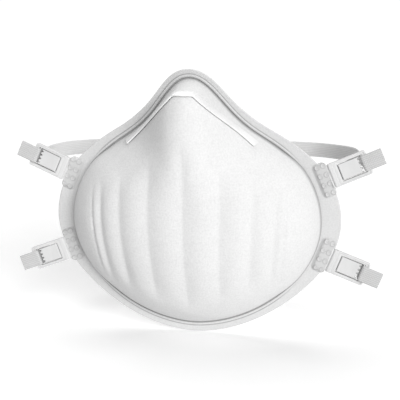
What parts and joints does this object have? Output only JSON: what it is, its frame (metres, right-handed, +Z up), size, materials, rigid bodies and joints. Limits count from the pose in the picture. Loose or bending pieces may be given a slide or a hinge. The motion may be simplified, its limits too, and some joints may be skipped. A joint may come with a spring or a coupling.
{
  "type": "disposable dust mask",
  "caption": "Moulded white cup dust mask with vertical ribs, a soft sealing flange, a bendable nose clip and elastic head straps held in hinged toothed buckles.",
  "frame": {"origin": "middle of the sealing rim, on the plane that the sides of the rim touch, where the wearer's face begins", "axes": "+X the viewer's right, -Y the front of the mask, +Y towards the wearer, +Z up as worn"},
  "size_m": [0.1902, 0.1079, 0.1354],
  "materials": {
    "cover": "spun-bonded nonwoven, matt white with fine fibres",
    "media": "loose white filter fleece",
    "inner": "heat-formed nonwoven, matt off-white",
    "flange": "dense heat-pressed nonwoven, pale grey-white",
    "clip": "soft aluminium strip, white enamel",
    "foam": "fine open-cell foam, pale grey",
    "plate": "thin milky polypropylene, welded on in small round dots",
    "buckle": "white polypropylene, satin",
    "strap": "flat braided elastic, light grey"
  },
  "bodies": {
    "mask": {"outer_cover": "cover", "filter_media": "media", "inner_shell": "inner", "rim_flange": "flange", "nose_clip": "clip", "nose_foam": "foam", "buckle_anchor_upper_left": "plate", "buckle_anchor_upper_right": "plate", "buckle_anchor_lower_left": "plate", "buckle_anchor_lower_right": "plate", "head_strap_upper": "strap", "head_strap_lower": "strap"},
    "buckle_upper_left": {"buckle_frame_upper_left": "buckle", "strap_end_upper_left": "strap"},
    "tongue_upper_left": {"buckle_tongue_upper_left": "buckle"},
    "buckle_upper_right": {"buckle_frame_upper_right": "buckle", "strap_end_upper_right": "strap"},
    "tongue_upper_right": {"buckle_tongue_upper_right": "buckle"},
    "buckle_lower_left": {"buckle_frame_lower_left": "buckle", "strap_end_lower_left": "strap"},
    "tongue_lower_left": {"buckle_tongue_lower_left": "buckle"},
    "buckle_lower_right": {"buckle_frame_lower_right": "buckle", "strap_end_lower_right": "strap"},
    "tongue_lower_right": {"buckle_tongue_lower_right": "buckle"}
  },
  "joints": [
    {"name": "buckle_hinge_upper_left", "type": "hinge", "parent": "mask", "child": "buckle_upper_left", "pos_m": [-0.0689, -0.00207, 0.0162], "axis": [-0.4067, 0, -0.9135], "range_deg": [-25, 70], "deforming": ["head_strap_upper"]},
    {"name": "tongue_hinge_upper_left", "type": "hinge", "parent": "buckle_upper_left", "child": "tongue_upper_left", "pos_m": [-0.07283, -0.00207, 0.01795], "axis": [0.4067, 0, 0.9135], "range_deg": [0, 20], "stiffness_Nm_per_rad": 0.0005},
    {"name": "buckle_hinge_upper_right", "type": "hinge", "parent": "mask", "child": "buckle_upper_right", "pos_m": [0.0689, -0.00207, 0.0162], "axis": [-0.4067, 0, 0.9135], "range_deg": [-25, 70], "deforming": ["head_strap_upper"]},
    {"name": "tongue_hinge_upper_right", "type": "hinge", "parent": "buckle_upper_right", "child": "tongue_upper_right", "pos_m": [0.07283, -0.00207, 0.01795], "axis": [0.4067, 0, -0.9135], "range_deg": [0, 20], "stiffness_Nm_per_rad": 0.0005},
    {"name": "buckle_hinge_lower_left", "type": "hinge", "parent": "mask", "child": "buckle_lower_left", "pos_m": [-0.0699, -0.00108, -0.0271], "axis": [0.3502, 0, -0.9367], "range_deg": [-25, 70], "deforming": ["head_strap_lower"]},
    {"name": "tongue_hinge_lower_left", "type": "hinge", "parent": "buckle_lower_left", "child": "tongue_lower_left", "pos_m": [-0.07393, -0.00108, -0.02861], "axis": [-0.3502, 0, 0.9367], "range_deg": [0, 20], "stiffness_Nm_per_rad": 0.0005},
    {"name": "buckle_hinge_lower_right", "type": "hinge", "parent": "mask", "child": "buckle_lower_right", "pos_m": [0.0699, -0.00108, -0.0271], "axis": [0.3502, 0, 0.9367], "range_deg": [-25, 70], "deforming": ["head_strap_lower"]},
    {"name": "tongue_hinge_lower_right", "type": "hinge", "parent": "buckle_lower_right", "child": "tongue_lower_right", "pos_m": [0.07393, -0.00108, -0.02861], "axis": [-0.3502, 0, -0.9367], "range_deg": [0, 20], "stiffness_Nm_per_rad": 0.0005}
  ]
}
